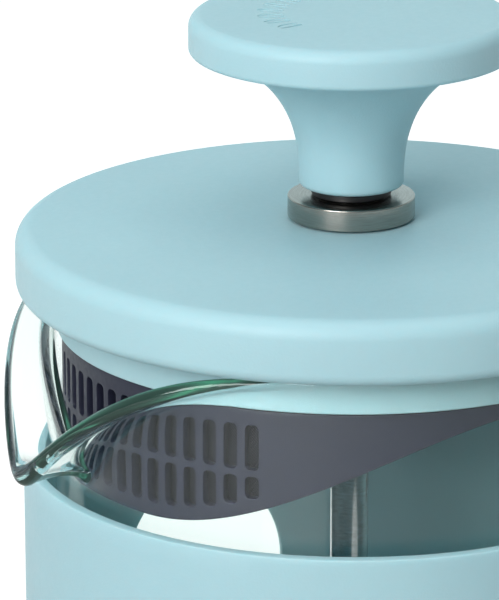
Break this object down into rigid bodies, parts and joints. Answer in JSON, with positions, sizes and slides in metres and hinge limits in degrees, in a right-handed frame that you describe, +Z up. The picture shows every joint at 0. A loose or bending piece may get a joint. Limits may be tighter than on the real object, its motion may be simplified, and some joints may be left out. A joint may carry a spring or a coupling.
{
  "type": "french press",
  "caption": "Glass beaker with a pouring lip in a plastic jacket with side windows and a loop handle, and a lid with a strainer and a plunger.",
  "frame": {"origin": "on the beaker's axis, on the flat underside of the foot pad", "axes": "+Z up along the beaker's axis, -X towards the spout, +X towards the handle"},
  "size_m": [0.1519, 0.104, 0.2245],
  "materials": {
    "pale_blue_plastic": "fine-grained soft matt moulding, pale blue",
    "clear_glass": "clear borosilicate glass, faintly green at its edges",
    "charcoal_plastic": "dark grey moulding with a fine satin grain",
    "black_plastic": "black moulding",
    "dark_nylon_mesh": "fine woven dark nylon",
    "grey_silicone": "soft grey silicone",
    "brushed_steel": "stainless steel, brushed round its axis",
    "polished_steel": "polished stainless steel",
    "brass": "plain turned brass"
  },
  "bodies": {
    "jacket": {"foot_pad": "grey_silicone", "base_cover": "charcoal_plastic", "base_screw_1": "polished_steel", "base_screw_2": "polished_steel", "base_screw_3": "polished_steel", "jacket": "pale_blue_plastic", "handle": "pale_blue_plastic", "handle_screw_upper": "polished_steel", "handle_screw_lower": "polished_steel", "beaker_cushion": "grey_silicone"},
    "beaker": {"glass_beaker": "clear_glass"},
    "guide": {"lid_ring": "brushed_steel", "lid_bush": "black_plastic", "bush_nut": "black_plastic"},
    "lid": {"lid_cover": "pale_blue_plastic", "lid_collar": "pale_blue_plastic", "strainer": "charcoal_plastic", "strainer_lining": "dark_nylon_mesh", "strainer_screw_1": "polished_steel", "strainer_screw_2": "polished_steel", "strainer_screw_3": "polished_steel"},
    "plunger": {"plunger_rod": "polished_steel", "rod_stop": "polished_steel", "top_plate": "polished_steel", "edge_spring": "brushed_steel", "filter_mesh": "brushed_steel", "cross_plate": "polished_steel", "hub_nut": "polished_steel"},
    "knob": {"knob": "pale_blue_plastic", "knob_insert": "brass"}
  },
  "joints": [
    {"name": "beaker_lift", "type": "slide", "parent": "jacket", "child": "beaker", "axis": [0, 0, 1], "range_m": [0, 0.16]},
    {"name": "lid_lift", "type": "slide", "parent": "beaker", "child": "guide", "axis": [0, 0, 1], "range_m": [0, 0.175]},
    {"name": "lid_turn", "type": "hinge", "parent": "guide", "child": "lid", "pos_m": [0, 0, 0.1862], "axis": [0, 0, 1], "continuous": true},
    {"name": "plunge", "type": "slide", "parent": "guide", "child": "plunger", "axis": [0, 0, 1], "range_m": [0, 0.125]},
    {"name": "knob_turn", "type": "hinge", "parent": "plunger", "child": "knob", "pos_m": [0, 0, 0.2074], "axis": [0, 0, 1], "continuous": true}
  ]
}
